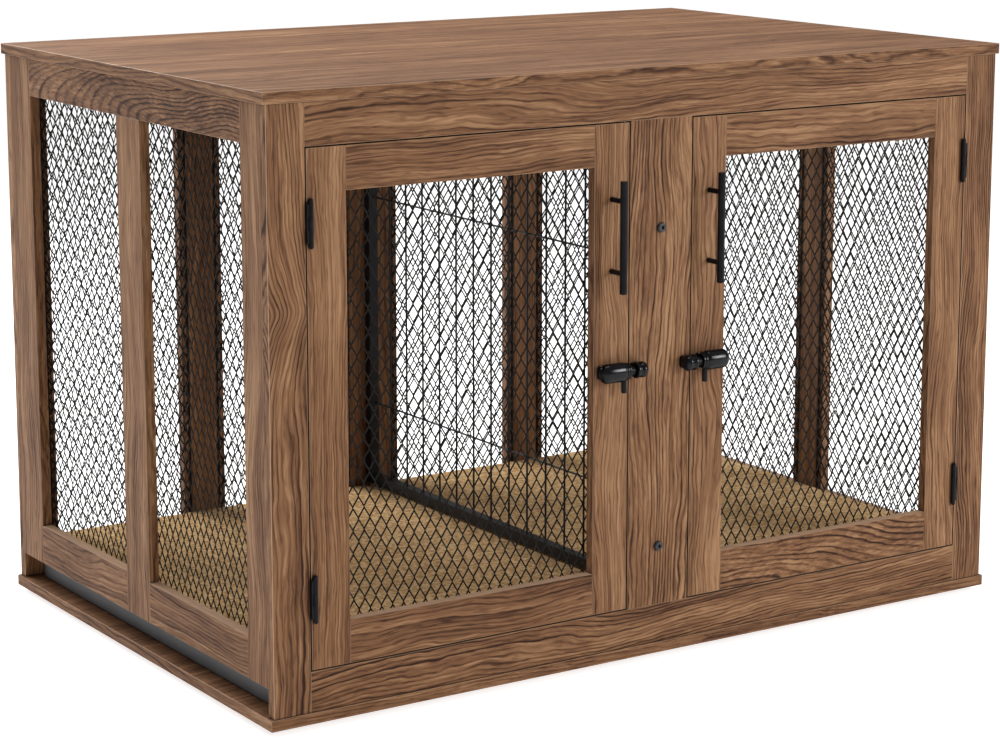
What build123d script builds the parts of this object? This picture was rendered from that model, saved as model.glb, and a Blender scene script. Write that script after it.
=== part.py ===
"""Furniture dog crate with two compartments, 1200 x 788 x 814 mm.

A carcass of 15 mm laminated boards: a top, a base, and four framed sides whose windows are
closed by diamond mesh.  Two framed doors swing on butt hinges at the front corners, and each
carries a bar handle and a barrel bolt that shoots into a keeper on the centre stile.  A tray
slides out to the left under a raised floor, and a bolted wire panel parts the two halves.

Frame: +Z up, +X to the right of someone facing the doors, doors on the -Y side.  The origin
is on the ground in the middle of the crate's bounding box, handles and bolt heads included.
"""
from build123d import *
import os

os.makedirs("parts", exist_ok=True)

# ---------------------------------------------------------------- overall sizes
width = 1200.0            # top and base boards, along X
depth = 788.0             # top and base boards, along Y
height = 814.0            # ground to the top face
foot_height = 8.0

# ---------------------------------------------------------------- boards
board = 15.0              # thickness of every board
edge_break = 0.6          # small bevel along board edges
side_overhang = 5.0       # top and base past the side frames
face_overhang = 2.0       # top and base past the front and rear frames

front_post = 53.5         # widths of the upright boards
rear_post = 55.0
centre_stile = 101.0
rear_mid_stile = 70.0
side_front_stile = 52.0
side_mid_stile = 70.0
side_rear_stile = 68.0

bottom_rail = 53.5        # heights of the front and rear rails
top_rail = 55.0
side_top_rail = 53.5
side_bottom_rail = 56.5
slot_height = 36.5        # tray slot under the raised left side frame

# ---------------------------------------------------------------- doors
door_gap = 2.0
door_stile = 56.0
door_top_rail = 56.0
door_bottom_rail = 57.5

# ---------------------------------------------------------------- diamond mesh
mesh_thickness = 1.8
mesh_lap = 12.0           # sheet past the window edge, all round
mesh_rim = 3.0            # unbroken edge of the sheet
diamond_width = 33.0      # between neighbouring diamonds
diamond_height = 60.0
strand = 2.2              # strand width, measured along X

# ---------------------------------------------------------------- hinges
hinge_inset = 93.0        # door end to the middle of its hinge
hinge_height = 50.0       # leaves and knuckles
hinge_leaf_gap = 0.2      # between the two leaves, in the door gap
hinge_leaf_reach = 12.0   # leaf depth into the door gap
knuckle_diameter = 6.2
knuckle_gap = 0.3
hinge_axis_inset = 4.0    # door edge to the pin axis
knuckle_face_gap = 0.4    # door face to the knuckles
pin_diameter = 3.0
pin_clearance = 0.16      # on the diameter
finial = 6.8              # rounded pin ends past the knuckles

# ---------------------------------------------------------------- handles
handle_length = 150.0
handle_pitch = 96.0       # between the two posts
handle_bar = 10.0
handle_post = 7.0
handle_standoff = 27.0    # door face to the bar axis
handle_drop = 148.0       # door top to the middle of the bar
screw_diameter = 4.0
screw_hole_clearance = 0.4
screw_head_diameter = 8.0
screw_head_height = 2.4
screw_grip = 9.0          # thread inside the handle post

# ---------------------------------------------------------------- latches
latch_raise = 0.75        # door middle to the bolt axis
latch_standoff = 12.0     # door face to the bolt axis
latch_length = 45.0       # housing
latch_inset = 7.5         # door edge to the housing
latch_barrel = 22.0
latch_plate_height = 27.0
latch_plate = 2.0
latch_end_wall = 1.0
bolt_diameter = 12.0
bolt_length = 46.0
bolt_bore_clearance = 0.7
bolt_gap = 1.0            # drawn bolt's end to the keeper
bolt_travel = 13.0        # from drawn to shot
keeper_bore_spare = 1.0   # keeper's bore past the shot bolt
peg_diameter = 7.5
peg_drop = 29.0           # bolt axis to the peg's end
peg_gap = 0.75            # shot peg to the keeper
peg_slot_clearance = 1.0
keeper_length = 18.5
keeper_diameter = 22.0
keeper_inset = 0.5        # stile edge to the keeper

# ---------------------------------------------------------------- floor and tray
foot_diameter = 25.0
foot_end_inset = 145.0    # crate end to the foot axis
foot_face_inset = 32.0    # crate front or rear edge to the foot axis
cleat_height = 12.0
cleat_width = 18.0
floor_thickness = 12.0
floor_clearance = 3.0     # floor and pads to the frames
pad_thickness = 13.0
pad_corner = 14.0
pad_edge = 4.0
pad_gap = 3.0             # between the two pads
tray_setback = 9.0        # inner face of the side frame to the tray's end, outwards
tray_lift = 1.0           # tray underside above the base
tray_height = 22.0
tray_wall = 2.0
tray_side_clearance = 5.0
tray_corner = 16.0
tray_rim = 6.0            # rolled rim width, turned inwards
cleat_clearance = 2.0     # tray rim to the cleats

# ---------------------------------------------------------------- divider
divider_tube = 15.0
divider_lift = 2.5        # above the pads
divider_head_room = 4.0   # below the top board
divider_wire = 3.0
divider_pitch = 48.0
divider_cross_insets = (129.5, 249.0)    # cross wires from the divider's bottom and top
divider_weld = 0.6        # how far a cross wire sinks into an upright wire
divider_bolt = 6.0
divider_bolt_clearance = 0.6
divider_bolt_insets = (82.5, 146.0)      # bolts from the bottom and top rails
divider_bolt_bite = 12.0  # thread inside the divider's end tube
bolt_head_diameter = 13.0
bolt_head_height = 4.0
bolt_socket = 5.0         # across flats
bolt_socket_depth = 2.4

# ---------------------------------------------------------------- places worked out
handle_reach = handle_standoff + handle_bar / 2
front_reach = depth / 2 - face_overhang + handle_reach
rear_reach = depth / 2 + max(0.0, bolt_head_height - face_overhang)
middle_y = (front_reach - rear_reach) / 2      # centre of the boards, from the origin

base_z = foot_height
carcass_low = base_z + board
carcass_high = height - board
side_out = width / 2 - side_overhang
side_in = side_out - board
front_out = middle_y - depth / 2 + face_overhang
front_in = front_out + board
rear_out = middle_y + depth / 2 - face_overhang
rear_in = rear_out - board

front_rail_top = carcass_low + bottom_rail
top_rail_low = carcass_high - top_rail
door_low = front_rail_top + door_gap
door_high = top_rail_low - door_gap
door_inner = centre_stile / 2 + door_gap
door_outer = side_out - front_post - door_gap
door_window_low = door_low + door_bottom_rail
door_window_high = door_high - door_top_rail
door_window_inner = door_inner + door_stile
door_window_outer = door_outer - door_stile
handle_x = door_inner + door_stile / 2
handle_height = door_high - handle_drop

side_front_y = front_in + side_front_stile
side_rear_y = rear_in - side_rear_stile
side_window = (side_rear_y - side_front_y - side_mid_stile) / 2
side_mid_y = side_front_y + side_window + side_mid_stile / 2
side_window_high = carcass_high - side_top_rail
side_low = {-1: carcass_low + slot_height, 1: carcass_low}

rear_window = (side_out - rear_post - centre_stile / 2 - rear_mid_stile) / 2
rear_mid_x = centre_stile / 2 + rear_window + rear_mid_stile / 2

floor_low = carcass_low + tray_lift + tray_height + cleat_clearance + cleat_height
pad_low = floor_low + floor_thickness
pad_high = pad_low + pad_thickness
divider_low = pad_high + divider_lift
divider_high = carcass_high - divider_head_room
divider_cross_heights = (divider_low + divider_cross_insets[0],
                         divider_high - divider_cross_insets[1])
divider_bolt_heights = (front_rail_top + divider_bolt_insets[0],
                        top_rail_low - divider_bolt_insets[1])

hinge_leaf = (door_gap - hinge_leaf_gap) / 2
hinge_x = door_outer - hinge_axis_inset
hinge_y = front_out - knuckle_face_gap - knuckle_diameter / 2
hinge_heights = (door_low + hinge_inset, door_high - hinge_inset)
latch_y = front_out - latch_standoff
latch_height = (door_low + door_high) / 2 + latch_raise
latch_inner = door_inner + latch_inset
keeper_outer = centre_stile / 2 - keeper_inset

sides = {"left": -1, "right": 1}


def middle(span):
    return (span[0] + span[1]) / 2


def size(span):
    return abs(span[1] - span[0])


def area(first_span, second_span):
    """Draw a rectangle from its limits in the sketch that is open."""
    with Locations((middle(first_span), middle(second_span))):
        Rectangle(size(first_span), size(second_span))


def save(piece, name):
    piece.part.label = name
    export_step(piece.part, f"parts/{name}.step")


def plane_facing_front(y):
    """The plane at y whose sketches are drawn in X and Z, with its normal towards -Y."""
    return Plane.XZ.offset(-y)


def save_boards(name, boards, holes=(), hole_diameter=0.0):
    """Write one node of boards, each given by its X, Y and Z limits, drilled along Y."""
    with BuildPart() as piece:
        for x_span, y_span, z_span in boards:
            with BuildSketch(Plane.XY.offset(z_span[0])):
                area(x_span, y_span)
            extrude(amount=size(z_span))
        chamfer(piece.edges(), edge_break)
        if holes:
            y_span = boards[0][1]
            with BuildSketch(plane_facing_front(y_span[1])):
                with Locations(*holes):
                    Circle(hole_diameter / 2)
            extrude(amount=size(y_span), mode=Mode.SUBTRACT)
    save(piece, name)


# ================================================================ top, base, feet
full_x = (-width / 2, width / 2)
full_y = (middle_y - depth / 2, middle_y + depth / 2)
save_boards("top_panel", [(full_x, full_y, (carcass_high, height))])
save_boards("base_panel", [(full_x, full_y, (base_z, carcass_low))])

with BuildPart() as feet:
    with BuildSketch(Plane.XY):
        with Locations((0, middle_y)):
            with GridLocations(width - 2 * foot_end_inset, depth - 2 * foot_face_inset, 2, 2):
                Circle(foot_diameter / 2)
    extrude(amount=foot_height)
    chamfer(feet.faces().filter_by(Axis.Z).group_by(Axis.Z)[0].edges(), 1.0)
save(feet, "feet")

# ================================================================ front frame
front_y = (front_out, front_in)
carcass_z = (carcass_low, carcass_high)
between_rails = (front_rail_top, top_rail_low)
front_rail_x = (-side_out + front_post, side_out - front_post)
bolt_spots = [(0, z) for z in divider_bolt_heights]
bolt_hole = divider_bolt + divider_bolt_clearance
stile_x = (-centre_stile / 2, centre_stile / 2)

for name, side in sides.items():
    post_x = (side * side_out, side * (side_out - front_post))
    save_boards(f"front_{name}_post", [(post_x, front_y, carcass_z)])
save_boards("front_centre_stile", [(stile_x, front_y, between_rails)], bolt_spots, bolt_hole)
save_boards("front_top_rail", [(front_rail_x, front_y, (top_rail_low, carcass_high))])
save_boards("front_bottom_rail", [(front_rail_x, front_y, (carcass_low, front_rail_top))])

# ================================================================ rear frame
rear_y = (rear_in, rear_out)
rear_rail_x = (-side_out + rear_post, side_out - rear_post)
for name, side in sides.items():
    post_x = (side * side_out, side * (side_out - rear_post))
    save_boards(f"rear_{name}_post", [(post_x, rear_y, carcass_z)])
    mid_x = (side * rear_mid_x - rear_mid_stile / 2, side * rear_mid_x + rear_mid_stile / 2)
    save_boards(f"rear_{name}_mid_stile", [(mid_x, rear_y, between_rails)])
save_boards("rear_centre_stile", [(stile_x, rear_y, between_rails)], bolt_spots, bolt_hole)
save_boards("rear_top_rail", [(rear_rail_x, rear_y, (top_rail_low, carcass_high))])
save_boards("rear_bottom_rail", [(rear_rail_x, rear_y, (carcass_low, front_rail_top))])

# ================================================================ side frames
# The left frame is raised to leave the tray slot; the right one stands on the base.
# Each middle stile runs down between its two bottom rails.
for name, side in sides.items():
    side_x = (side * side_in, side * side_out)
    mid_y = (side_mid_y - side_mid_stile / 2, side_mid_y + side_mid_stile / 2)
    rail_z = (side_low[side], side_low[side] + side_bottom_rail)
    stile_z = (side_low[side], carcass_high)
    save_boards(f"{name}_side_front_stile", [(side_x, (front_in, side_front_y), stile_z)])
    save_boards(f"{name}_side_rear_stile", [(side_x, (side_rear_y, rear_in), stile_z)])
    save_boards(f"{name}_side_mid_stile", [(side_x, mid_y, (rail_z[0], side_window_high))])
    top_z = (side_window_high, carcass_high)
    save_boards(f"{name}_side_top_rail", [(side_x, (side_front_y, side_rear_y), top_z)])
    bays = [(side_front_y, mid_y[0]), (mid_y[1], side_rear_y)]
    save_boards(f"{name}_side_bottom_rails", [(side_x, bay, rail_z) for bay in bays])


# ================================================================ diamond mesh
def mesh_sheet(window_width, window_height):
    """A flat sheet of diamond mesh that laps a window, centred on the window."""
    columns = int(window_width // diamond_width) + 2
    rows = int(window_height // diamond_height) + 2
    half_width = diamond_width / 2 - strand / 2
    half_height = half_width * diamond_height / diamond_width
    corners = [(half_width, 0), (0, half_height), (-half_width, 0), (0, -half_height)]
    open_lap = mesh_lap - mesh_rim
    with BuildSketch() as cells:
        for extra in (0, 1):
            with GridLocations(diamond_width, diamond_height, columns + extra, rows + extra):
                Polygon(*corners)
        Rectangle(window_width + 2 * open_lap, window_height + 2 * open_lap, mode=Mode.INTERSECT)
    with BuildSketch() as sheet:
        Rectangle(window_width + 2 * mesh_lap, window_height + 2 * mesh_lap)
        add(cells.sketch, mode=Mode.SUBTRACT)
    return sheet.sketch


def save_mesh(name, plane, sheet, centres, thickness):
    with BuildPart() as piece:
        with BuildSketch(plane):
            with Locations(*centres):
                add(sheet)
        extrude(amount=thickness)
    save(piece, name)


door_window_z = (door_window_low, door_window_high)
door_sheet = mesh_sheet(door_window_outer - door_window_inner, size(door_window_z))
rear_sheet = mesh_sheet(rear_window, size(between_rails))
for name, side in sides.items():
    window_x = side * (door_window_inner + door_window_outer) / 2
    save_mesh(f"{name}_door_mesh", plane_facing_front(front_in), door_sheet,
              [(window_x, middle(door_window_z))], -mesh_thickness)

    step = (rear_window + rear_mid_stile) / 2
    rear_centres = [(side * (rear_mid_x + way * step), middle(between_rails)) for way in (-1, 1)]
    save_mesh(f"rear_{name}_mesh", plane_facing_front(rear_in), rear_sheet,
              rear_centres, mesh_thickness)

    window_z = (side_low[side] + side_bottom_rail, side_window_high)
    step = (side_window + side_mid_stile) / 2
    side_centres = [(side_mid_y + way * step, middle(window_z)) for way in (-1, 1)]
    save_mesh(f"{name}_side_mesh", Plane.YZ.offset(side * side_in),
              mesh_sheet(side_window, size(window_z)), side_centres, -side * mesh_thickness)

# ================================================================ floor, pads and cleats
floor_x = (-side_in + floor_clearance, side_in - floor_clearance)
floor_y = (front_in + floor_clearance, rear_in - floor_clearance)
save_boards("floor_board", [(floor_x, floor_y, (floor_low, pad_low))])

cleat_z = (floor_low - cleat_height, floor_low)
cleat_bands = [(front_in, front_in + cleat_width), (rear_in - cleat_width, rear_in)]
save_boards("floor_cleats", [(floor_x, band, cleat_z) for band in cleat_bands])

for name, side in sides.items():
    with BuildPart() as pad:
        with BuildSketch(Plane.XY.offset(pad_low)):
            area((side * pad_gap / 2, side * floor_x[1]), floor_y)
        extrude(amount=pad_thickness)
        fillet(pad.edges().filter_by(Axis.Z), pad_corner)
        fillet(pad.faces().sort_by(Axis.Z)[-1].edges(), pad_edge)
    save(pad, f"{name}_floor_pad")

# ================================================================ tray
# Shallow plastic tray: flat floor, upright walls with rounded corners, and a rim turned in.
tray_half_length = side_in - tray_setback
tray_low = carcass_low + tray_lift
tray_y = (front_in + tray_side_clearance, rear_in - tray_side_clearance)
with BuildPart() as tray:
    with BuildSketch(Plane.XY.offset(tray_low)):
        with Locations((0, middle(tray_y))):
            RectangleRounded(2 * tray_half_length, size(tray_y), tray_corner)
    extrude(amount=tray_height)
    with BuildSketch(Plane.XY.offset(tray_low + tray_wall)):
        with Locations((0, middle(tray_y))):
            RectangleRounded(2 * (tray_half_length - tray_wall), size(tray_y) - 2 * tray_wall,
                             tray_corner - tray_wall)
    extrude(amount=tray_height - 2 * tray_wall, mode=Mode.SUBTRACT)
    with BuildSketch(Plane.XY.offset(tray_low + tray_height - tray_wall)):
        with Locations((0, middle(tray_y))):
            RectangleRounded(2 * (tray_half_length - tray_rim), size(tray_y) - 2 * tray_rim,
                             tray_corner - tray_rim)
    extrude(amount=tray_wall, mode=Mode.SUBTRACT)
save(tray, "tray")

# ================================================================ divider
# A welded panel: a frame of square tube, upright wires between its bars, two cross wires.
divider_y = (front_in, rear_in)
divider_z = (divider_low, divider_high)
inner_y = (divider_y[0] + divider_tube, divider_y[1] - divider_tube)
inner_z = (divider_z[0] + divider_tube, divider_z[1] - divider_tube)
divider_wires = int(size(inner_y) // divider_pitch) - 1
with BuildPart() as divider_panel:
    with BuildSketch(Plane.YZ.offset(-divider_tube / 2)):
        area(divider_y, divider_z)
        with Locations((middle(inner_y), middle(inner_z))):
            Rectangle(size(inner_y), size(inner_z), mode=Mode.SUBTRACT)
    extrude(amount=divider_tube)
    with BuildSketch(Plane.XY.offset(divider_z[0] + divider_tube / 2)):
        with Locations((0, middle(divider_y))):
            with GridLocations(1, divider_pitch, 1, divider_wires):
                Circle(divider_wire / 2)
    extrude(amount=size(divider_z) - divider_tube)
    with BuildSketch(plane_facing_front(divider_y[1] - divider_tube / 2)):
        with Locations(*[(divider_wire - divider_weld, z) for z in divider_cross_heights]):
            Circle(divider_wire / 2)
    extrude(amount=size(divider_y) - divider_tube)
    for y, way in ((divider_y[0], -1), (divider_y[1], 1)):
        with BuildSketch(plane_facing_front(y)):
            with Locations(*bolt_spots):
                Circle(divider_bolt / 2)
        extrude(amount=way * divider_bolt_bite, mode=Mode.SUBTRACT)
save(divider_panel, "divider_panel")

# Four button-head bolts hold the divider between the front and rear centre stiles.
with BuildPart() as divider_bolts:
    for y, way in ((front_out, 1), (rear_out, -1)):
        with BuildSketch(plane_facing_front(y)):
            with Locations(*bolt_spots):
                Circle(divider_bolt / 2)
        extrude(amount=-way * (board + divider_bolt_bite))
        with BuildSketch(plane_facing_front(y)):
            with Locations(*bolt_spots):
                Circle(bolt_head_diameter / 2)
        extrude(amount=way * bolt_head_height)
        with BuildSketch(plane_facing_front(y - way * bolt_head_height)):
            with Locations(*bolt_spots):
                RegularPolygon(bolt_socket / 2, 6, major_radius=False)
        extrude(amount=-way * bolt_socket_depth, mode=Mode.SUBTRACT)
    rims = [divider_bolts.edges().filter_by(GeomType.CIRCLE).group_by(Axis.Y)[end]
            for end in (0, -1)]
    fillet(rims[0] + rims[1], bolt_head_height / 2)
save(divider_bolts, "divider_bolts")

# ================================================================ doors
for name, side in sides.items():
    outer_x = (side * door_outer, side * door_window_outer)
    inner_x = (side * door_inner, side * door_window_inner)
    window_x = (side * door_window_inner, side * door_window_outer)
    door_z = (door_low, door_high)
    screw_spots = [(side * handle_x, handle_height + way * handle_pitch / 2) for way in (-1, 1)]
    save_boards(f"{name}_door_outer_stile", [(outer_x, front_y, door_z)])
    save_boards(f"{name}_door_inner_stile", [(inner_x, front_y, door_z)],
                screw_spots, screw_diameter + screw_hole_clearance)
    save_boards(f"{name}_door_top_rail", [(window_x, front_y, (door_window_high, door_high))])
    save_boards(f"{name}_door_bottom_rail", [(window_x, front_y, (door_low, door_window_low))])

    # Bar handle: an upright bar on two posts, tapped for the screws.
    with BuildPart() as handle:
        bar_low = handle_height - handle_length / 2
        with BuildSketch(Plane.XY.offset(bar_low)):
            with Locations((side * handle_x, front_out - handle_standoff)):
                Circle(handle_bar / 2)
        extrude(amount=handle_length)
        chamfer(handle.edges().filter_by(GeomType.CIRCLE), 0.8)
        with BuildSketch(plane_facing_front(front_out)):
            with Locations(*screw_spots):
                Circle(handle_post / 2)
        extrude(amount=handle_standoff)
        with BuildSketch(plane_facing_front(front_out)):
            with Locations(*screw_spots):
                Circle(screw_diameter / 2)
        extrude(amount=screw_grip, mode=Mode.SUBTRACT)
    save(handle, f"{name}_door_handle")

    with BuildPart() as handle_screws:
        with BuildSketch(plane_facing_front(front_in)):
            with Locations(*screw_spots):
                Circle(screw_diameter / 2)
        extrude(amount=board + screw_grip)
        with BuildSketch(plane_facing_front(front_in)):
            with Locations(*screw_spots):
                Circle(screw_head_diameter / 2)
        extrude(amount=-screw_head_height)
        fillet(handle_screws.edges().group_by(Axis.Y)[-1], screw_head_height / 2)
    save(handle_screws, f"{name}_door_handle_screws")

# ================================================================ hinges
# Butt hinges with their leaves in the door gap and the knuckles proud of the face.  The
# frame leaf carries the two outer knuckles and the door leaf the middle one.
knuckle_height = (hinge_height - 2 * knuckle_gap) / 3
knuckle_step = knuckle_height + knuckle_gap
post_edge = door_outer + door_gap
pin_bore = pin_diameter + pin_clearance
web_front = hinge_y - 1.0         # frame leaf, ahead of the pin axis
web_back = front_out - 1.0        # frame leaf's web, clear of the door face
hinge_spots = [(side * hinge_x, hinge_y, z) for side in sides.values() for z in hinge_heights]

with BuildPart() as hinge_frame_leaves:
    for side in sides.values():
        for z in hinge_heights:
            low = z - hinge_height / 2
            with BuildSketch(Plane.XY.offset(low)):
                area((side * (post_edge - hinge_leaf), side * post_edge),
                     (web_front, front_out + hinge_leaf_reach))
            extrude(amount=hinge_height)
            for knuckle_low in (low, low + 2 * knuckle_step):
                with BuildSketch(Plane.XY.offset(knuckle_low)):
                    with Locations((side * hinge_x, hinge_y)):
                        Circle(knuckle_diameter / 2)
                    area((side * hinge_x, side * post_edge), (web_front, web_back))
                extrude(amount=knuckle_height)
    with Locations(*hinge_spots):
        Cylinder(pin_bore / 2, hinge_height, mode=Mode.SUBTRACT)
save(hinge_frame_leaves, "hinge_frame_leaves")

for name, side in sides.items():
    with BuildPart() as hinge_leaves:
        for z in hinge_heights:
            low = z - hinge_height / 2
            leaf_x = (side * door_outer, side * (door_outer + hinge_leaf))
            with BuildSketch(Plane.XY.offset(low)):
                area(leaf_x, (front_out, front_out + hinge_leaf_reach))
            extrude(amount=hinge_height)
            with BuildSketch(Plane.XY.offset(low + knuckle_step)):
                with Locations((side * hinge_x, hinge_y)):
                    Circle(knuckle_diameter / 2)
                area((side * hinge_x, leaf_x[1]), (hinge_y, front_out))
            extrude(amount=knuckle_height)
        with Locations(*[(side * hinge_x, hinge_y, z) for z in hinge_heights]):
            Cylinder(pin_bore / 2, hinge_height, mode=Mode.SUBTRACT)
    save(hinge_leaves, f"{name}_door_hinge_leaves")

# Each pin is a rod between two rounded finials that bear on the outer knuckles.
with BuildPart() as hinge_pins:
    with Locations(*hinge_spots):
        Cylinder(pin_diameter / 2, hinge_height)
    for way in (-1, 1):
        with Locations(*[(x, y, z + way * (hinge_height + finial) / 2) for x, y, z in hinge_spots]):
            Cylinder(knuckle_diameter / 2, finial)
    tips = [z + way * (hinge_height / 2 + finial) for z in hinge_heights for way in (-1, 1)]
    rims = [rim for rim in hinge_pins.edges().filter_by(GeomType.CIRCLE)
            if any(abs(rim.center().Z - tip) < 0.1 for tip in tips)]
    fillet(rims, knuckle_diameter / 2 - 0.4)
save(hinge_pins, "hinge_pins")

# ================================================================ latches
# A barrel bolt on each door, drawn as the door can open: a housing on a back plate, slotted
# below for the peg, and a bolt that shoots across the door gap into its keeper.
bolt_bore = bolt_diameter + bolt_bore_clearance
latch_outer = latch_inner + latch_length
bolt_tip = keeper_outer + bolt_gap
peg_x = keeper_outer + peg_gap + peg_diameter / 2 + bolt_travel
peg_slot = peg_diameter + peg_slot_clearance
slot_end = peg_x + peg_slot / 2
keeper_bore_end = bolt_tip - bolt_travel - keeper_bore_spare


def across(side, x):
    """A plane at x whose normal points away from the centre stile, drawn in Y and Z."""
    return Plane(origin=(side * x, 0, 0), x_dir=(0, side, 0), z_dir=(side, 0, 0))


for name, side in sides.items():
    with BuildPart() as housing:
        with BuildSketch(plane_facing_front(front_out)):
            with Locations((side * (latch_inner + latch_outer) / 2, latch_height)):
                RectangleRounded(latch_length, latch_plate_height, 4)
        extrude(amount=latch_plate)
        with BuildSketch(across(side, latch_inner)):
            with Locations((side * latch_y, latch_height)):
                Circle(latch_barrel / 2)
            area((side * latch_y, side * front_out),
                 (latch_height - latch_barrel / 2, latch_height + latch_barrel / 2))
        extrude(amount=latch_length)
        with BuildSketch(across(side, latch_inner)):
            with Locations((side * latch_y, latch_height)):
                Circle(bolt_bore / 2)
        extrude(amount=latch_length - latch_end_wall, mode=Mode.SUBTRACT)
        with BuildSketch(Plane.XY.offset(latch_height)):
            area((side * latch_inner, side * slot_end),
                 (latch_y - peg_slot / 2, latch_y + peg_slot / 2))
        extrude(amount=-latch_plate_height, mode=Mode.SUBTRACT)
    save(housing, f"{name}_door_latch_housing")

    with BuildPart() as latch_bolt:
        with BuildSketch(across(side, bolt_tip)):
            with Locations((side * latch_y, latch_height)):
                Circle(bolt_diameter / 2)
        extrude(amount=bolt_length)
        chamfer(latch_bolt.edges().filter_by(GeomType.CIRCLE), 1.2)
        with BuildSketch(Plane.XY.offset(latch_height - peg_drop)):
            with Locations((side * peg_x, latch_y)):
                Circle(peg_diameter / 2)
        extrude(amount=peg_drop)
        fillet(latch_bolt.edges().group_by(Axis.Z)[0], 1.5)
    save(latch_bolt, f"{name}_latch_bolt")

with BuildPart() as latch_keepers:
    for side in sides.values():
        keeper_inner = keeper_outer - keeper_length
        with BuildSketch(across(side, keeper_inner)):
            with Locations((side * latch_y, latch_height)):
                Circle(keeper_diameter / 2)
            area((side * latch_y, side * front_out),
                 (latch_height - keeper_diameter / 2, latch_height + keeper_diameter / 2))
        extrude(amount=keeper_length)
        with BuildSketch(across(side, keeper_bore_end)):
            with Locations((side * latch_y, latch_height)):
                Circle(bolt_bore / 2)
        extrude(amount=keeper_outer - keeper_bore_end, mode=Mode.SUBTRACT)
    closed_ends = [face.edges().filter_by(GeomType.CIRCLE) for face in latch_keepers.faces()
                   if abs(abs(face.center().X) - keeper_inner) < 0.01]
    for edges in closed_ends:
        fillet(edges, 3.0)
save(latch_keepers, "latch_keepers")
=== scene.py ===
"""Looks for a furniture dog crate: walnut boards, diamond mesh, black fittings and floor pads.

The boards, divider, handles, hinges, bolts and tray keep their CAD shapes and get materials.
The mesh sheets, floor pads, latch housings and keepers are finer pieces that stand for theirs.
"""
import math
import random

import bmesh
import bpy
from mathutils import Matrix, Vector


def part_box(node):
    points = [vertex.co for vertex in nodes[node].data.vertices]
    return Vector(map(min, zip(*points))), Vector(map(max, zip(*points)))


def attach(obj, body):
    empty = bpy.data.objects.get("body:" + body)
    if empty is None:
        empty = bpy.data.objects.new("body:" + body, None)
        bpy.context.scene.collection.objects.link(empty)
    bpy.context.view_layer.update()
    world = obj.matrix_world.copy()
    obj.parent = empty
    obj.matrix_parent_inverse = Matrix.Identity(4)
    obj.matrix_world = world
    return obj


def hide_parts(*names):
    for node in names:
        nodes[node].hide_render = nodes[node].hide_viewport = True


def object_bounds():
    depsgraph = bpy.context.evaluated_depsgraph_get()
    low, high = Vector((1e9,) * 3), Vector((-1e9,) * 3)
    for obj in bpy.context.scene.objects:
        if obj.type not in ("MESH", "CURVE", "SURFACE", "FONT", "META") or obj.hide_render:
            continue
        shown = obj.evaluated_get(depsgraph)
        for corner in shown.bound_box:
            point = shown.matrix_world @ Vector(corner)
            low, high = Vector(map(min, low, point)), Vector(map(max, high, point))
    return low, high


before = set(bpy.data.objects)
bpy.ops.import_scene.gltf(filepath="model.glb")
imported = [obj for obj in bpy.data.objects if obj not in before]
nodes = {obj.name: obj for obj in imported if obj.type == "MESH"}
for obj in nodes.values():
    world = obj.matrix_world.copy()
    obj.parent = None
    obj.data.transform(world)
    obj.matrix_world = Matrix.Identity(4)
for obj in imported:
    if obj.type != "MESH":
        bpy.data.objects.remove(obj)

cad_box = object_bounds()
mm = 0.001
sides = {"left": -1, "right": 1}


# ---------------------------------------------------------------- node helpers
def add_node(tree, kind, inputs=None, **settings):
    """Make a shader node; inputs maps a socket's name or number to a value or an output."""
    made = tree.nodes.new(kind)
    for key, value in settings.items():
        setattr(made, key, value)
    set_inputs(tree, made, inputs or {})
    return made


def set_inputs(tree, node, inputs):
    for key, value in inputs.items():
        if isinstance(value, bpy.types.NodeSocket):
            tree.links.new(value, node.inputs[key])
        else:
            node.inputs[key].default_value = value


def maths(tree, operation, *values, clamp=False):
    inputs = dict(enumerate(values))
    return add_node(tree, "ShaderNodeMath", inputs, operation=operation, use_clamp=clamp).outputs[0]


def noise(tree, vector, scales, detail=2.0, rough=0.5):
    """Noise whose grain has its own fineness, per metre, along each axis."""
    stretched = add_node(tree, "ShaderNodeVectorMath", {0: vector, 1: scales}, operation="MULTIPLY")
    inputs = {"Vector": stretched.outputs[0], "Scale": 1.0, "Detail": detail, "Roughness": rough}
    return add_node(tree, "ShaderNodeTexNoise", inputs).outputs["Fac"]


def ramp(tree, value, stops):
    """A colour ramp from (position, grey or colour) stops."""
    made = add_node(tree, "ShaderNodeValToRGB", {"Fac": value})
    elements = made.color_ramp.elements
    while len(elements) < len(stops):
        elements.new(1.0)
    for element, (position, colour) in zip(elements, stops):
        element.position = position
        rgb = (colour,) * 3 if isinstance(colour, float) else colour
        element.color = (*rgb, 1.0)
    return made.outputs["Color"]


def mix_colour(tree, share, first, second, blend="MIX"):
    """Mix two colours; a colour mix has them on the node's sockets 6 and 7."""
    inputs = {"Factor": share, 6: first, 7: second}
    made = add_node(tree, "ShaderNodeMix", inputs, data_type="RGBA", blend_type=blend)
    return made.outputs[2]


def new_material(name):
    material = bpy.data.materials.new(name)
    material.use_nodes = True
    return material, material.node_tree, material.node_tree.nodes["Principled BSDF"]


def object_coordinates(tree):
    return add_node(tree, "ShaderNodeTexCoord").outputs["Object"]


def bump(tree, shader, height, strength, distance):
    inputs = {"Height": height, "Strength": strength, "Distance": distance}
    tree.links.new(add_node(tree, "ShaderNodeBump", inputs).outputs[0], shader.inputs["Normal"])


# ---------------------------------------------------------------- walnut
wood_light = (0.338, 0.188, 0.095)
wood_mid = (0.190, 0.091, 0.042)
wood_dark = (0.082, 0.034, 0.015)
wood_darkest = (0.028, 0.011, 0.005)
# The paler colour painted on bevels and ledges as a painted highlight.
bevel_highlight_colour = (0.56, 0.37, 0.24)


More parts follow.
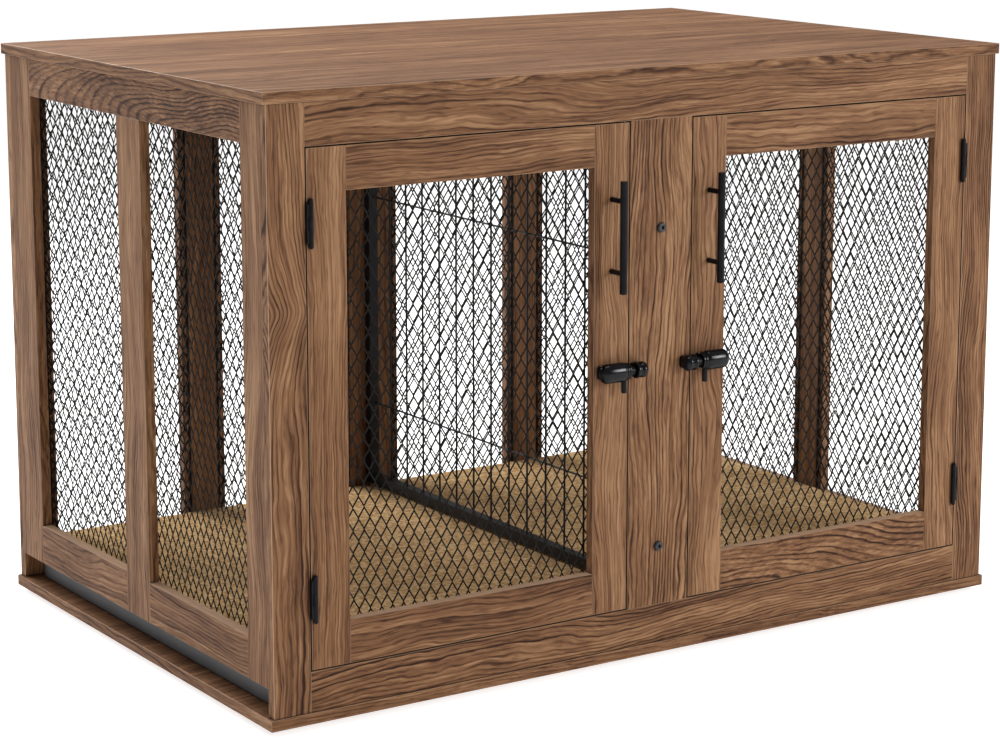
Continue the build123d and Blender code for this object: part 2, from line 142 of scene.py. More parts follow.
def walnut_group():
    """Grain of a board sawn from a log, in board coordinates with Z along the grain.

    The rings are cylinders about a log axis that lies Depth under the face and Across to one
    side, and that dives by Taper, so that they cut the face in lines or in pointed arches.
    """
    group = bpy.data.node_groups.new("walnut", "ShaderNodeTree")
    kinds = {"Vector": "Vector", "Across": "Float", "Depth": "Float", "Taper": "Float",
             "Ring": "Float", "Contrast": "Float", "Tone": "Float"}
    for name, kind in kinds.items():
        group.interface.new_socket(name, in_out="INPUT", socket_type="NodeSocket" + kind)
    for name, kind in {"Color": "Color", "Roughness": "Float", "Height": "Float"}.items():
        group.interface.new_socket(name, in_out="OUTPUT", socket_type="NodeSocket" + kind)
    given = add_node(group, "NodeGroupInput").outputs
    place = given["Vector"]
    xyz = add_node(group, "ShaderNodeSeparateXYZ", {0: place}).outputs

    # The log isn't straight: a slow wander and a quicker ripple move its axis sideways.
    wander = noise(group, place, (9.0, 9.0, 3.2), 1.0)
    ripple = noise(group, place, (46.0, 46.0, 17.0), 2.0)
    shift = maths(group, "ADD", maths(group, "MULTIPLY", wander, 62 * mm),
                  maths(group, "MULTIPLY", ripple, 9 * mm))
    across = maths(group, "ADD", maths(group, "ADD", xyz[0], given["Across"]), shift)
    dive = maths(group, "MULTIPLY_ADD", xyz[2], given["Taper"], given["Depth"])
    deep = maths(group, "ADD", dive, xyz[1])
    squares = maths(group, "ADD", maths(group, "MULTIPLY", across, across),
                    maths(group, "MULTIPLY", deep, deep))
    ring_count = maths(group, "DIVIDE", maths(group, "SQRT", squares), given["Ring"])
    phase = maths(group, "FRACT", ring_count)
    ring_number = maths(group, "FLOOR", ring_count)
    # Late wood is a dark edge to each ring, stronger in some years, and it fades in patches.
    late = ramp(group, phase, [(0.0, 0.35), (0.14, 0.05), (0.55, 0.16), (0.84, 1.0), (1.0, 0.35)])
    chance = add_node(group, "ShaderNodeTexWhiteNoise", {"W": ring_number},
                      noise_dimensions="1D").outputs["Value"]
    fade = noise(group, place, (26.0, 26.0, 4.0), 2.0)
    strength = maths(group, "MULTIPLY", maths(group, "MULTIPLY_ADD", chance, 0.75, 0.35),
                     maths(group, "MULTIPLY_ADD", fade, 1.9, -0.25, clamp=True))
    rings = maths(group, "MULTIPLY", maths(group, "MULTIPLY", late, strength), given["Contrast"])

    # Streaks and fibres follow the rings' own wander, so they bend with the figure.
    bent = add_node(group, "ShaderNodeCombineXYZ", {0: across, 1: deep, 2: xyz[2]}).outputs[0]
    streaks = maths(group, "SUBTRACT", noise(group, bent, (34.0, 34.0, 1.5), 4.0, 0.6), 0.5)
    lines = maths(group, "SUBTRACT", noise(group, bent, (190.0, 190.0, 5.0), 3.0, 0.65), 0.5)
    fibres = maths(group, "SUBTRACT", noise(group, bent, (560.0, 560.0, 16.0), 2.0, 0.6), 0.5)
    pores = ramp(group, noise(group, bent, (430.0, 430.0, 38.0), 1.0), [(0.57, 0.0), (0.68, 1.0)])
    mottle = maths(group, "SUBTRACT", noise(group, place, (6.0, 6.0, 2.2), 2.0), 0.5)

    dark = given["Tone"]
    for layer, share in ((streaks, 0.95), (mottle, 0.40), (lines, 1.00), (fibres, 0.75),
                         (rings, 0.95), (pores, 0.17)):
        dark = maths(group, "MULTIPLY_ADD", layer, share, dark)
    dark = maths(group, "ADD", dark, 0.0, clamp=True)
    colour = ramp(group, dark, [(0.0, wood_light), (0.36, wood_mid), (0.72, wood_dark),
                                (1.0, wood_darkest)])
    rough = maths(group, "MULTIPLY_ADD", dark, 0.16, 0.48)
    height = maths(group, "SUBTRACT", maths(group, "MULTIPLY", fibres, 0.6),
                   maths(group, "MULTIPLY_ADD", rings, 0.5, pores))
    add_node(group, "NodeGroupOutput", {"Color": colour, "Roughness": rough, "Height": height})
    return group


walnut = walnut_group()
# How a board was sawn: log axis to one side and below the face, its dive per metre, contrast.
figures = {
    "straight": (0.30, 0.10, 0.02, 0.70),
    "fine": (0.62, 0.16, 0.01, 0.60),
    "wavy": (0.13, 0.05, 0.05, 1.20),
    "arched": (0.01, 0.05, 0.15, 1.00),
    "crotch": (0.20, 0.10, 0.02, 0.95),
}
# Where a branch left the log the grain swells sideways: by how much, over what height, how far
# above the board's middle, and how round its peak is.
crotch_swell = 46 * mm
crotch_reach = 75 * mm
crotch_rise = 128 * mm
crotch_tip = 8 * mm             # rounding of the peak
board_figures = {
    "top_panel": "fine",
    "front_left_post": "crotch",
    "front_centre_stile": "wavy",
    "front_bottom_rail": "wavy",
    "left_side_top_rail": "arched",
    "left_side_bottom_rails": "straight",
    "right_door_bottom_rail": "arched",
}


def grain_axes(name):
    """Which object axes run across, through and along the board."""
    low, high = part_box(name)
    spans = list(high - low)
    through = spans.index(min(spans))
    if name.endswith(("stile", "post")):
        along = 2
    else:
        along = 1 if "_side_" in name else 0
    across = 3 - through - along
    return across, through, along


def crotch_figure(tree, along, across):
    """The log axis's place across the board, moved aside in a peak where the branch was."""
    away = maths(tree, "ABSOLUTE", maths(tree, "SUBTRACT", along, crotch_rise))
    rounded = maths(tree, "SQRT", maths(tree, "MULTIPLY_ADD", away, away, crotch_tip ** 2))
    peak = maths(tree, "EXPONENT", maths(tree, "DIVIDE", rounded, -crotch_reach))
    return maths(tree, "MULTIPLY_ADD", peak, -crotch_swell, across)


def walnut_material(name, tone, figure):
    """One board's own material: the shared grain, turned to the board and moved about in it."""
    chance = random.Random(name)
    material, tree, shader = new_material("walnut_" + name)
    low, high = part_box(name)
    centre = (low + high) / 2
    axes = grain_axes(name)
    normal = add_node(tree, "ShaderNodeTexCoord").outputs["Normal"]
    facing = add_node(tree, "ShaderNodeVectorMath", {0: normal}, operation="ABSOLUTE").outputs[0]
    facing = add_node(tree, "ShaderNodeSeparateXYZ", {0: facing}).outputs
    centred = {0: object_coordinates(tree), 1: tuple(centre)}
    centred = add_node(tree, "ShaderNodeVectorMath", centred, operation="SUBTRACT").outputs[0]
    xyz = add_node(tree, "ShaderNodeSeparateXYZ", {0: centred}).outputs
    face_order = {i: xyz[axis] for i, axis in enumerate(axes)}
    # The edge band on a board's ends has its grain along the band.
    band_order = {i: xyz[axis] for i, axis in enumerate((axes[1], axes[2], axes[0]))}
    on_end = maths(tree, "GREATER_THAN", facing[axes[2]], 0.75)
    orders = {"Factor": on_end}
    # A vector mix has its two vectors on the node's sockets 4 and 5.
    for socket, order in ((4, face_order), (5, band_order)):
        orders[socket] = add_node(tree, "ShaderNodeCombineXYZ", order).outputs[0]
    turned = add_node(tree, "ShaderNodeMix", orders, data_type="VECTOR").outputs[1]
    across, depth, taper, contrast = figures[figure]
    if figure == "crotch":
        across = crotch_figure(tree, xyz[axes[2]], across)
    elif chance.random() < 0.5:
        across = -across
    # The seed moves the board along its log, and the taper is taken off again.
    along = chance.uniform(2.0, 9.0)
    seeded = {0: turned, 1: (0.0, 0.0, along)}
    seeded = add_node(tree, "ShaderNodeVectorMath", seeded, operation="ADD")
    inputs = {
        "Vector": seeded.outputs[0],
        "Across": across,
        "Depth": depth - taper * along,
        "Taper": taper,
        "Ring": chance.uniform(4.2, 6.2) * mm,
        "Contrast": contrast,
        "Tone": tone,
    }
    grain = add_node(tree, "ShaderNodeGroup", node_tree=walnut)
    set_inputs(tree, grain, inputs)

    # Bevels are painted paler as a painted highlight, and the joints get painted shade.
    flat = maths(tree, "MAXIMUM", maths(tree, "MAXIMUM", facing[0], facing[1]), facing[2])
    highlight_strength = 0.85 if name.startswith("front") and name.endswith("post") else 0.35
    painted_highlight = ramp(tree, flat, [(0.80, highlight_strength), (0.95, 0.0)])
    if "bottom_rail" in name:
        # The ledges under the windows get a painted highlight: their upward and downward faces are
        # painted paler.
        ledge_highlight = ramp(tree, facing[axes[0]], [(0.85, 0.0), (0.98, 0.6)])
        painted_highlight = maths(tree, "MAXIMUM", painted_highlight, ledge_highlight)
    colour = mix_colour(tree, painted_highlight, grain.outputs["Color"], (*bevel_highlight_colour, 1.0))
    # Painted shade: faces within 5 mm of another surface are darkened, as if shadowed in the joints
    # and creases.
    crease_occlusion = add_node(tree, "ShaderNodeAmbientOcclusion", {"Distance": 5 * mm}, samples=6)
    shade = ramp(tree, crease_occlusion.outputs["AO"], [(0.30, 0.20), (0.80, 1.0)])
    colour = mix_colour(tree, 1.0, colour, shade, blend="MULTIPLY")
    tree.links.new(colour, shader.inputs["Base Color"])
    tree.links.new(grain.outputs["Roughness"], shader.inputs["Roughness"])
    shader.inputs["Specular IOR Level"].default_value = 0.12
    bump(tree, shader, grain.outputs["Height"], 0.22, 0.35 * mm)
    return material


def paint(name, material):
    target = nodes[name]
    target.data.materials.clear()
    target.data.materials.append(material)


board_ends = ("panel", "post", "stile", "rail", "rails", "floor_board", "floor_cleats")
boards = [name for name in nodes if name.endswith(board_ends) and name != "divider_panel"]
for name in sorted(boards):
    tone = 0.30 + random.Random(name + " tone").uniform(-0.05, 0.05)
    style = board_figures.get(name, "fine" if name.endswith("stile") else "straight")
    paint(name, walnut_material(name, tone, style))


# ---------------------------------------------------------------- metal and plastic
def coated_metal(name, colour, roughness, grain, gloss_level):
    """Black paint or powder on steel: a fine orange peel and a little uneven gloss."""
    material, tree, shader = new_material(name)
    place = object_coordinates(tree)
    peel = noise(tree, place, (900.0, 900.0, 900.0), 2.0)
    cloud = noise(tree, place, (60.0, 60.0, 60.0), 3.0)
    pale = tuple(min(1.0, c * 1.9 + 0.004) for c in colour)
    shades = ramp(tree, cloud, [(0.35, colour), (0.75, pale)])
    tree.links.new(shades, shader.inputs["Base Color"])
    gloss = maths(tree, "MULTIPLY_ADD", cloud, 0.16, roughness - 0.08)
    tree.links.new(gloss, shader.inputs["Roughness"])
    shader.inputs["Specular IOR Level"].default_value = gloss_level
    bump(tree, shader, peel, grain, 0.12 * mm)
    return material


satin_black = coated_metal("satin_black", (0.002, 0.002, 0.003), 0.36, 0.08, 0.12)
gloss_black = coated_metal("gloss_black", (0.001, 0.001, 0.002), 0.17, 0.02, 0.20)
powder_black = coated_metal("powder_black", (0.005, 0.005, 0.007), 0.46, 0.25, 0.25)
mesh_black = coated_metal("mesh_black", (0.004, 0.003, 0.002), 0.65, 0.15, 0.10)
bolt_black = coated_metal("bolt_black", (0.012, 0.013, 0.015), 0.34, 0.10, 0.4)


def moulded_plastic(name, colour, roughness, grain_scale):
    """Plastic with a fine pebbled grain and lengthwise scuffs."""
    material, tree, shader = new_material(name)
    place = object_coordinates(tree)
    cells = add_node(tree, "ShaderNodeTexVoronoi", {"Vector": place, "Scale": grain_scale})
    scuffs = noise(tree, place, (14.0, 40.0, 40.0), 4.0)
    pale = tuple(c * 1.5 for c in colour)
    tree.links.new(ramp(tree, scuffs, [(0.3, colour), (0.8, pale)]), shader.inputs["Base Color"])
    gloss = maths(tree, "MULTIPLY_ADD", scuffs, 0.2, roughness - 0.1)
    tree.links.new(gloss, shader.inputs["Roughness"])
    bump(tree, shader, cells.outputs["Distance"], 0.25, 0.2 * mm)
    return material


tray_grey = moulded_plastic("tray_grey", (0.052, 0.054, 0.058), 0.50, 700.0)
foot_black = moulded_plastic("foot_black", (0.012, 0.012, 0.012), 0.45, 900.0)

paint("divider_panel", powder_black)
paint("divider_bolts", bolt_black)
paint("hinge_frame_leaves", satin_black)
paint("hinge_pins", satin_black)
paint("tray", tray_grey)
paint("feet", foot_black)
for side in sides:
    paint(f"{side}_door_hinge_leaves", satin_black)
    paint(f"{side}_door_handle", satin_black)
    paint(f"{side}_door_handle_screws", bolt_black)
    paint(f"{side}_latch_bolt", satin_black)


# ---------------------------------------------------------------- making pieces
def piece_from(name, shape, material, body, stands_for, smooth=False):
    """Turn a bmesh into a piece that rides on a body and stands for CAD nodes."""
    shape.normal_update()
    mesh = bpy.data.meshes.new(name)
    shape.to_mesh(mesh)
    shape.free()
    mesh.materials.append(material)
    if smooth:
        mesh.polygons.foreach_set("use_smooth", [True] * len(mesh.polygons))
    piece = bpy.data.objects.new(name, mesh)
    bpy.context.scene.collection.objects.link(piece)
    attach(piece, body)
    if stands_for:
        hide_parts(*stands_for)
    return piece


# ---------------------------------------------------------------- diamond mesh
diamond_width = 16.5 * mm
diamond_height = 30.0 * mm
bond_half_width = 0.85 * mm     # the joint where four strands meet
bond_half_height = 2.8 * mm
bond_shoulder = 0.75 * mm
strand_twist = 0.40 * mm        # joint ends out of the sheet's plane
sheet_gauge = 0.75 * mm
sheet_lap = 12.0 * mm           # sheet past the window
sheet_rim = 3.0 * mm
rim_overlap = 0.4 * mm          # diamonds run this far onto the rim


def diamond_grid(shape, window):
    """Fill a window and its lap with expanded diamonds, in X and Y, twisted out along Z."""
    low_a, high_a, low_h, high_h = window
    lap = sheet_lap - sheet_rim + rim_overlap
    centre = Vector(((low_a + high_a) / 2, (low_h + high_h) / 2, 0))
    # Enough diamonds each way to pass the border, which then trims them.
    reach_a = int(((high_a - low_a) / 2 + lap) / (diamond_width / 2)) + 2
    reach_h = int(((high_h - low_h) / 2 + lap) / (diamond_height / 2)) + 2
    corners = {
        "top": (0, bond_half_height, strand_twist),
        "high_right": (bond_half_width, bond_shoulder, 0.3 * strand_twist),
        "low_right": (bond_half_width, -bond_shoulder, -0.3 * strand_twist),
        "bottom": (0, -bond_half_height, -strand_twist),
        "low_left": (-bond_half_width, -bond_shoulder, -0.3 * strand_twist),
        "high_left": (-bond_half_width, bond_shoulder, 0.3 * strand_twist),
    }
    bonds = {}
    for i in range(-reach_a, reach_a + 1):
        for j in range(-reach_h, reach_h + 1):
            if (i + j) % 2 == 0:
                at = centre + Vector((i * diamond_width / 2, j * diamond_height / 2, 0))
                bonds[i, j] = {key: shape.verts.new(at + Vector(c)) for key, c in corners.items()}
    faces = []
    for (i, j), bond in bonds.items():
        faces.append(shape.faces.new(reversed([bond[key] for key in corners])))
        right = bonds.get((i + 1, j + 1))
        if right:
            strand = [bond["high_right"], right["bottom"], right["low_left"], bond["top"]]
            faces.append(shape.faces.new(strand))
        left = bonds.get((i - 1, j + 1))
        if left:
            strand = [bond["top"], left["low_right"], left["bottom"], bond["high_left"]]
            faces.append(shape.faces.new(strand))
    for point, outwards in (((low_a - lap, 0, 0), (-1, 0, 0)), ((high_a + lap, 0, 0), (1, 0, 0)),
                            ((0, low_h - lap, 0), (0, -1, 0)), ((0, high_h + lap, 0), (0, 1, 0))):
        parts = shape.verts[:] + shape.edges[:] + shape.faces[:]
        bmesh.ops.bisect_plane(shape, geom=parts, plane_co=point, plane_no=outwards,
                               clear_outer=True)


def sheet_border(shape, window):
    """The sheet's unbroken edge, a flat ring round the diamonds."""
    low_a, high_a, low_h, high_h = window
    rings = []
    for grow in (sheet_lap - sheet_rim, sheet_lap):
        corners = [(low_a - grow, low_h - grow), (high_a + grow, low_h - grow),
                   (high_a + grow, high_h + grow), (low_a - grow, high_h + grow)]
        rings.append([shape.verts.new((a, h, 0)) for a, h in corners])
    for k in range(4):
        inner, outer = rings
        shape.faces.new([inner[k], outer[k], outer[(k + 1) % 4], inner[(k + 1) % 4]])


def mesh_piece(node_name, windows, place, body):
    """One node's sheets of real diamond mesh, set by place(across, up, out of the board)."""
    shape = bmesh.new()
    for window in windows:
        part = bmesh.new()
        diamond_grid(part, window)
        sheet_border(part, window)
        temporary = bpy.data.meshes.new("part")
        part.to_mesh(temporary)
        part.free()
        shape.from_mesh(temporary)
        bpy.data.meshes.remove(temporary)
    for vert in shape.verts:
        vert.co = place(*vert.co)
    piece = piece_from(node_name + "_diamonds", shape, mesh_black, body, [node_name])
    gauge = piece.modifiers.new("gauge", "SOLIDIFY")
    gauge.thickness = sheet_gauge
    gauge.offset = 0.0
    return piece


def gap(first, second, axis):
    """The span between two nodes along an axis, where first comes before second."""
    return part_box(first)[1][axis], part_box(second)[0][axis]


def build_meshes():
    rear_rails = gap("rear_bottom_rail", "rear_top_rail", 2)
    for side, way in sides.items():
        stiles = [f"{side}_door_inner_stile", f"{side}_door_outer_stile"]
        across = gap(*stiles[::way], 0)
        up = gap(f"{side}_door_bottom_rail", f"{side}_door_top_rail", 2)
        low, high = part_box(f"{side}_door_mesh")
        middle = (low.y + high.y) / 2
        mesh_piece(f"{side}_door_mesh", [(*across, *up)],
                   lambda a, h, out, y=middle: Vector((a, y + out, h)), f"{side}_door")

        up = gap(f"{side}_side_bottom_rails", f"{side}_side_top_rail", 2)
        bays = [gap(f"{side}_side_front_stile", f"{side}_side_mid_stile", 1),
                gap(f"{side}_side_mid_stile", f"{side}_side_rear_stile", 1)]
        low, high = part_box(f"{side}_side_mesh")
        middle = (low.x + high.x) / 2
        mesh_piece(f"{side}_side_mesh", [(*bay, *up) for bay in bays],
                   lambda a, h, out, x=middle: Vector((x + out, a, h)), "carcass")

        uprights = ["rear_centre_stile", f"rear_{side}_mid_stile", f"rear_{side}_post"][::way]
        bays = [gap(uprights[0], uprights[1], 0), gap(uprights[1], uprights[2], 0)]
        low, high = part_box(f"rear_{side}_mesh")
        middle = (low.y + high.y) / 2
        mesh_piece(f"rear_{side}_mesh", [(*bay, *rear_rails) for bay in bays],
                   lambda a, h, out, y=middle: Vector((a, y + out, h)), "carcass")


build_meshes()


# ---------------------------------------------------------------- floor pads
def pad_fabric():
    """Tan basket weave with flecks."""
    material, tree, shader = new_material("pad_fabric")
    place = object_coordinates(tree)
    weave_pitch = 3.0 * mm
    threads = []
    for direction in ("X", "Y"):
        inputs = {"Vector": place, "Scale": 0.314 / weave_pitch, "Distortion": 0.5,
                  "Detail": 1.0, "Detail Scale": 2.0}
        wave = add_node(tree, "ShaderNodeTexWave", inputs, bands_direction=direction)
        threads.append(wave.outputs["Fac"])
    weave = maths(tree, "MULTIPLY", *threads)
    flecks = noise(tree, place, (150.0, 150.0, 150.0), 4.0, 0.7)
    patches = noise(tree, place, (11.0, 11.0, 11.0), 3.0)
    base = ramp(tree, flecks, [(0.38, (0.42, 0.225, 0.070)), (0.5, (0.74, 0.45, 0.185)),
                               (0.62, (0.95, 0.70, 0.38))])
    shade = ramp(tree, patches, [(0.3, 0.86), (0.7, 1.0)])
    colour = mix_colour(tree, 1.0, base, shade, blend="MULTIPLY")
    deep = ramp(tree, weave, [(0.0, 0.72), (0.5, 1.0)])
    tree.links.new(mix_colour(tree, 1.0, colour, deep, blend="MULTIPLY"),
                   shader.inputs["Base Color"])
    shader.inputs["Roughness"].default_value = 0.92
    shader.inputs["Specular IOR Level"].default_value = 0.10
    shader.inputs["Sheen Weight"].default_value = 0.06
    height = maths(tree, "MULTIPLY_ADD", flecks, 0.6, weave)
    bump(tree, shader, height, 0.5, 0.5 * mm)
    return material


def floor_pad(side, material):
    """A foam mat: a crowned top, sides that pull in between the corners, and a piped seam."""
    low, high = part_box(f"{side}_floor_pad")
    centre = (low + high) / 2
    half = (high - low) / 2
    pull_in = 1.6 * mm
    edge_round = 5.0 * mm
    seam_groove = 1.1 * mm
    corner = 40 * mm
    seam_half_height = 0.9 * mm
    quarter_steps = 96
    outline = []
    for k in range(4 * quarter_steps):
        quarter, step = divmod(k, quarter_steps)
        outline.append(rounded_point(half.x, half.y, corner, quarter, step / quarter_steps))
    # Height over the middle and inset, from the underside over the seam to the crown.
    rows = [(-half.z, edge_round * 0.6), (-half.z * 0.55, 0.0), (-seam_half_height, 0.0),
            (0.0, seam_groove), (seam_half_height, 0.0), (half.z * 0.35, 0.3 * mm),
            (half.z * 0.72, 1.8 * mm), (half.z * 0.90, edge_round), (half.z * 0.94, 12 * mm),
            (half.z * 0.97, 40 * mm), (half.z, 110 * mm), (half.z, 200 * mm)]
    shape = bmesh.new()
    rings = []
    for up, inset in rows:
        ring = []
        for x, y in outline:
            bow_x = pull_in * (1 - (y / half.y) ** 2) if abs(y) < half.y else 0.0
            bow_y = pull_in * (1 - (x / half.x) ** 2) if abs(x) < half.x else 0.0
            sx = (half.x - inset - bow_x) / half.x
            sy = (half.y - inset - bow_y) / half.y
            spot = Vector((x * sx, y * sy, up))
            ring.append(shape.verts.new(centre + spot))
        rings.append(ring)
    count = len(outline)
    for lower, upper in zip(rings, rings[1:]):
        for k in range(count):
            after = (k + 1) % count
            shape.faces.new([lower[k], lower[after], upper[after], upper[k]])
    shape.faces.new(reversed(rings[0]))
    shape.faces.new(rings[-1])
    piece = piece_from(f"{side}_floor_mat", shape, material, "carcass",
                       [f"{side}_floor_pad"], smooth=True)


def rounded_point(half_x, half_y, corner, quarter, share):
    """A point of a rounded rectangle's outline, a quarter at a time from the middle right.

    A little over a third of each quarter's points lie on either side, and the rest on the arc.
    """
    flip_x = (1, -1, -1, 1)[quarter]
    flip_y = (1, 1, -1, -1)[quarter]
    if quarter % 2:
        share = 1 - share
    straight_y = half_y - corner
    straight_x = half_x - corner
    side_share = 0.36
    if share < side_share:
        x, y = half_x, straight_y * share / side_share
    elif share > 1 - side_share:
        x, y = straight_x * (1 - share) / side_share, half_y
    else:
        turn = (share - side_share) / (1 - 2 * side_share) * math.pi / 2
        x = straight_x + corner * math.cos(turn)
        y = straight_y + corner * math.sin(turn)
    return flip_x * x, flip_y * y


tan_fabric = pad_fabric()
for side in sides:
    floor_pad(side, tan_fabric)


# ---------------------------------------------------------------- latches
def turned_shell(shape, profile, axis_y, axis_z, tall=1.0, slot_end=0.0, slot_half_angle=0.0):
    """Turn a profile of (x, radius) about an X axis, stretched upright by tall.

    The underside stays open within slot_half_angle, as far out along X as slot_end.
    """
    segments = 48
    turn = 2 * math.pi / segments
    rings = []
    for x, radius in profile:
        ring = []
        for k in range(segments):
            angle = (k + 0.5) * turn - math.pi / 2
            rise = tall * radius * math.sin(angle)
            ring.append(shape.verts.new((x, axis_y + radius * math.cos(angle), axis_z + rise)))
        rings.append(ring)
    for index, (first, second) in enumerate(zip(rings, rings[1:])):
        reach = max(abs(profile[index][0]), abs(profile[index + 1][0]))
        for k in range(segments):
            from_below = min((k + 1) * turn, abs(2 * math.pi - (k + 1) * turn))
            if reach <= slot_end + 0.1 * mm and from_below < slot_half_angle:
                continue
            after = (k + 1) % segments
            shape.faces.new([first[k], first[after], second[after], second[k]])


def plate(shape, low, high, bevel):
    """A plate on an XZ face, with rounded corners and a softened edge towards -Y."""
    half_x, half_z = (high[0] - low[0]) / 2, (high[2] - low[2]) / 2
    centre_x, centre_z = (high[0] + low[0]) / 2, (high[2] + low[2]) / 2
    corner = 4 * mm
    steps = 32
    rings = []
    for y, inset in ((high[1], 0.0), (low[1] + bevel, 0.0), (low[1] + 0.3 * bevel, 0.3 * bevel),
                     (low[1], bevel)):
        ring = []
        for k in range(steps):
            turn = (k + 0.5) * 2 * math.pi / steps
            x = math.copysign(half_x - corner, math.cos(turn)) + (corner - inset) * math.cos(turn)
            z = math.copysign(half_z - corner, math.sin(turn)) + (corner - inset) * math.sin(turn)
            ring.append(shape.verts.new((centre_x + x, y, centre_z + z)))
        rings.append(ring)
    for first, second in zip(rings, rings[1:]):
        for k in range(steps):
            after = (k + 1) % steps
            shape.faces.new([first[k], first[after], second[after], second[k]])
    shape.faces.new(reversed(rings[0]))
    shape.faces.new(rings[-1])


bolt_radius = 6.0 * mm
latch_standoff = 12.0 * mm      # door face to the bolt's axis
barrel_tallness = 1.25          # the barrel is an upright oval
peg_slot_length = 11.75 * mm    # from the barrel's mouth
peg_slot_half_width = 4.25 * mm
barrel_radius = 10.7 * mm
plate_thickness = 2.0 * mm
plate_bevel = 0.9 * mm
saddle_bevel = 1.2 * mm         # on the blocks that carry the barrel and the keeper


def latch_pieces(side, way):
    """A barrel housing on its plate, and a domed keeper, with the CAD nodes' places."""
    low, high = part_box(f"{side}_door_latch_housing")
    axis_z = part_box(f"{side}_latch_bolt")[1].z - bolt_radius
    face_y = high.y
    axis_y = face_y - latch_standoff
    start, end = (low.x, high.x) if way > 0 else (high.x, low.x)
    peg_slot_end = abs(start) + peg_slot_length

    # Distances from the mouth and radii, in mm: two collars, the barrel and its rounded end.
    barrel = [(0.0, 8.4), (0.6, 9.2), (2.2, 9.2), (2.8, 8.3), (3.8, 8.3), (4.4, 9.6), (6.0, 9.6),
              (6.6, 8.6), (7.6, 8.6), (8.8, 10.3), (11.75, 10.7), (35.0, 10.7), (38.5, 10.3),
              (41.3, 9.3), (43.4, 7.6), (44.6, 5.2), (45.0, 0.02)]
    shape = bmesh.new()
    profile = [(start + way * x * mm, radius * mm) for x, radius in barrel]
    turned_shell(shape, profile, axis_y, axis_z, barrel_tallness, peg_slot_end,
                 math.asin(peg_slot_half_width / barrel_radius))
    housing = piece_from(f"{side}_latch_barrel", shape, gloss_black, f"{side}_door",
                         [f"{side}_door_latch_housing"], smooth=True)
    thicken(housing, 2.2 * mm, way)

    shape = bmesh.new()
    plate_ends = sorted((start, end - way * 2 * mm))
    plate(shape, (plate_ends[0], face_y - plate_thickness, axis_z - 9.5 * mm),
          (plate_ends[1], face_y, axis_z + 9.5 * mm), plate_bevel)
    saddle_ends = sorted((start + way * 13 * mm, end - way * 3 * mm))
    plate(shape, (saddle_ends[0], axis_y + 4 * mm, axis_z - 8.4 * mm),
          (saddle_ends[1], face_y - mm, axis_z + 8.4 * mm), saddle_bevel)
    piece_from(f"{side}_latch_plate", shape, gloss_black, f"{side}_door", [])

    keeper_low, keeper_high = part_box("latch_keepers")
    keeper_start = keeper_high.x if way > 0 else keeper_low.x
    # Distances from the mouth and radii, in mm: a flange, a waist, and a dome.
    keeper = [(0.0, 6.6), (0.0, 9.9), (0.8, 11.0), (3.2, 11.0), (4.2, 9.4), (6.4, 9.0), (7.6, 10.2),
              (10.0, 10.9), (13.2, 10.9), (15.8, 9.6), (17.5, 7.2), (18.3, 3.8), (18.5, 0.02)]
    shape = bmesh.new()
    profile = [(keeper_start - way * x * mm, radius * mm) for x, radius in keeper]
    turned_shell(shape, profile, axis_y, axis_z)
    dome = piece_from(f"{side}_keeper_dome", shape, gloss_black, "carcass",
                      ["latch_keepers"], smooth=True)
    thicken(dome, 1.6 * mm, -way)

    shape = bmesh.new()
    ends = sorted((keeper_start - way * 1.0 * mm, keeper_start - way * 16.5 * mm))
    base_y = axis_y + bolt_radius + 0.8 * mm
    plate(shape, (ends[0], base_y, axis_z - 8.5 * mm), (ends[1], face_y, axis_z + 8.5 * mm),
          saddle_bevel)
    piece_from(f"{side}_keeper_base", shape, gloss_black, "carcass", [])


def thicken(piece, thickness, way):
    """Give a turned shell its wall, inwards."""
    wall = piece.modifiers.new("wall", "SOLIDIFY")
    wall.thickness = thickness
    wall.offset = -1.0 if way > 0 else 1.0
    softened = piece.modifiers.new("edges", "BEVEL")
    softened.width = 0.25 * mm
    softened.segments = 2
    softened.limit_method = "ANGLE"


for side, way in sides.items():
    latch_pieces(side, way)


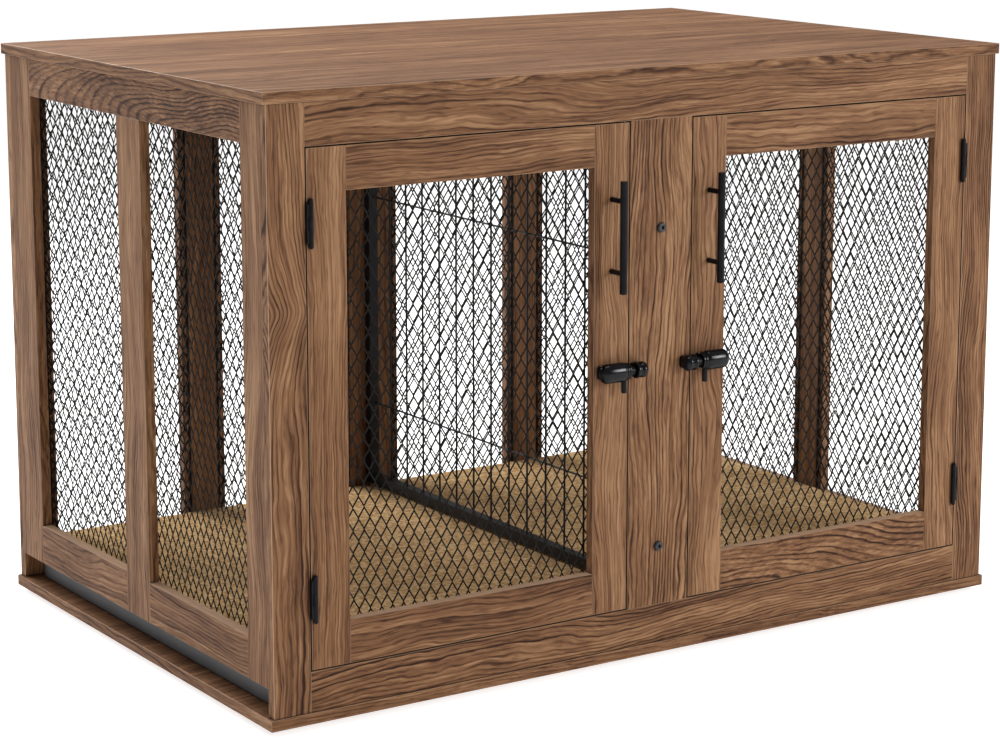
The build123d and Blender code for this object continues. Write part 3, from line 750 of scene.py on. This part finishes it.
# ---------------------------------------------------------------- stage, light and camera
def flat_floor(half, level):
    """A white floor that glows a little, so that it meets the white surround without an edge."""
    mesh = bpy.data.meshes.new("floor")
    corners = [(-half, -half, level), (half, -half, level), (half, half, level), (-half, half, level)]
    mesh.from_pydata(corners, [], [(0, 1, 2, 3)])
    material, _, shader = new_material("pale_floor")
    shader.inputs["Base Color"].default_value = (0.60, 0.60, 0.60, 1.0)
    shader.inputs["Roughness"].default_value = 0.9
    shader.inputs["Emission Color"].default_value = (1.0, 1.0, 1.0, 1.0)
    shader.inputs["Emission Strength"].default_value = 0.76
    mesh.materials.append(material)
    floor = bpy.data.objects.new("floor", mesh)
    bpy.context.scene.collection.objects.link(floor)


def area_light(name, place, target, width, height, power):
    data = bpy.data.lights.new(name, "AREA")
    data.shape = "RECTANGLE"
    data.size = width
    data.size_y = height
    data.energy = power
    lamp = bpy.data.objects.new(name, data)
    lamp.location = place
    lamp.rotation_euler = (Vector(target) - Vector(place)).to_track_quat("-Z", "Y").to_euler()
    bpy.context.scene.collection.objects.link(lamp)


def white_room(ambient):
    """A white surround for the camera, and a softer one for what it lights."""
    world = bpy.data.worlds.new("studio")
    bpy.context.scene.world = world
    world.use_nodes = True
    tree = world.node_tree
    seen = add_node(tree, "ShaderNodeLightPath").outputs["Is Camera Ray"]
    strength = maths(tree, "MULTIPLY_ADD", seen, 1.0 - ambient, ambient)
    surround = tree.nodes["Background"]
    surround.inputs["Color"].default_value = (1.0, 1.0, 1.0, 1.0)
    tree.links.new(strength, surround.inputs["Strength"])


flat_floor(40.0, cad_box[0].z)
white_room(0.40)
area_light("overhead", (0.0, 0.2, 3.6), (0.0, 0.0, 0.8), 2.6, 2.6, 98.0)
area_light("key", (2.75, -3.6, 1.7), (0.0, -0.3, 0.4), 1.0, 1.4, 98.0)
area_light("behind", (-0.9, 3.2, 2.1), (0.0, 0.0, 0.1), 2.0, 2.0, 140.0)

camera_yaw = math.radians(33.22)
camera_pitch = math.radians(10.36)
camera_data = bpy.data.cameras.new("camera")
camera_data.lens = 99.0
camera_data.shift_y = -0.08
camera = bpy.data.objects.new("camera", camera_data)
camera.location = (-2.165, -3.292, 1.170)
camera.rotation_euler = (math.pi / 2 - camera_pitch, 0.0, -camera_yaw)
bpy.context.scene.collection.objects.link(camera)
bpy.context.scene.camera = camera
bpy.context.scene.view_settings.view_transform = "Standard"
